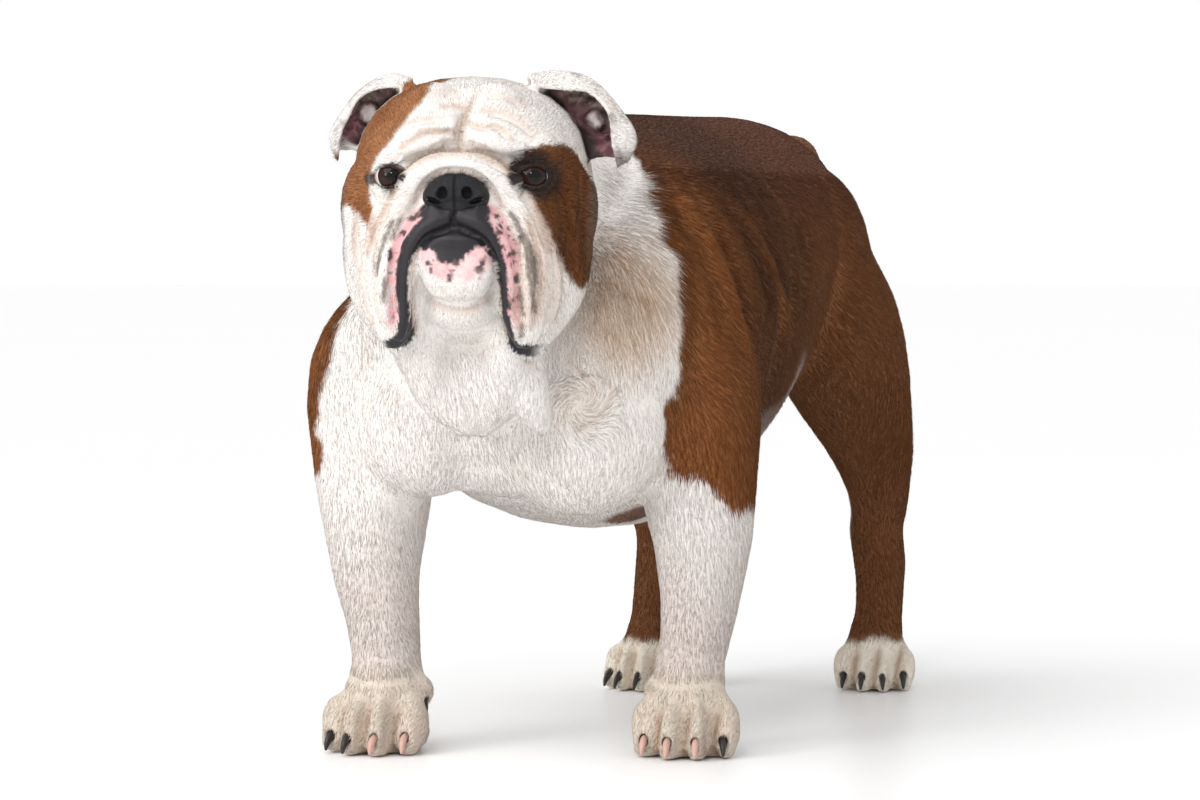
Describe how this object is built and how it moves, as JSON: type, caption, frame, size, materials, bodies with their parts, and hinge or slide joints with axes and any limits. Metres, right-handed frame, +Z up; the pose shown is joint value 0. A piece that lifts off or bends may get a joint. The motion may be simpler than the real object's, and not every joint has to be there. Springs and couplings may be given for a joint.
{
  "type": "dog",
  "caption": "Still, life-size model of a standing English bulldog, head turned to one side, with folded ears, hanging lips and a short stub of a tail.",
  "frame": {"origin": "on the floor under the centre of the dog's bounding box", "axes": "+X to the dog's left, +Y towards its tail (it faces -Y), +Z up; the soles are at z = 0"},
  "size_m": [0.2842, 0.641, 0.4279],
  "materials": {
    "coat_white": "short flat coat",
    "coat_brown": "short flat coat with a soft sheen",
    "nose_leather": "moist pebbled leather",
    "lip_skin": "bare skin",
    "eye_glass": "wet gloss",
    "claw_horn": "worn horn"
  },
  "bodies": {
    "root": {"head": "coat_white", "nose": "nose_leather", "jaw": "lip_skin", "ear_left": "coat_white", "ear_right": "coat_white", "eye_left": "eye_glass", "eye_right": "eye_glass", "neck": "coat_white", "torso": "coat_brown", "tail": "coat_brown", "fore_left_upper": "coat_brown", "fore_left_lower": "coat_white", "fore_left_paw": "coat_white", "fore_right_upper": "coat_white", "fore_right_lower": "coat_white", "fore_right_paw": "coat_white", "hind_left_upper": "coat_brown", "hind_left_lower": "coat_brown", "hind_left_paw": "coat_white", "hind_right_upper": "coat_brown", "hind_right_lower": "coat_brown", "hind_right_paw": "coat_white", "claw_fore_left_1": "claw_horn", "claw_fore_left_2": "claw_horn", "claw_fore_left_3": "claw_horn", "claw_fore_left_4": "claw_horn", "dewclaw_fore_left": "claw_horn", "claw_fore_right_1": "claw_horn", "claw_fore_right_2": "claw_horn", "claw_fore_right_3": "claw_horn", "claw_fore_right_4": "claw_horn", "dewclaw_fore_right": "claw_horn", "claw_hind_left_1": "claw_horn", "claw_hind_left_2": "claw_horn", "claw_hind_left_3": "claw_horn", "claw_hind_left_4": "claw_horn", "claw_hind_right_1": "claw_horn", "claw_hind_right_2": "claw_horn", "claw_hind_right_3": "claw_horn", "claw_hind_right_4": "claw_horn"}
  },
  "joints": []
}
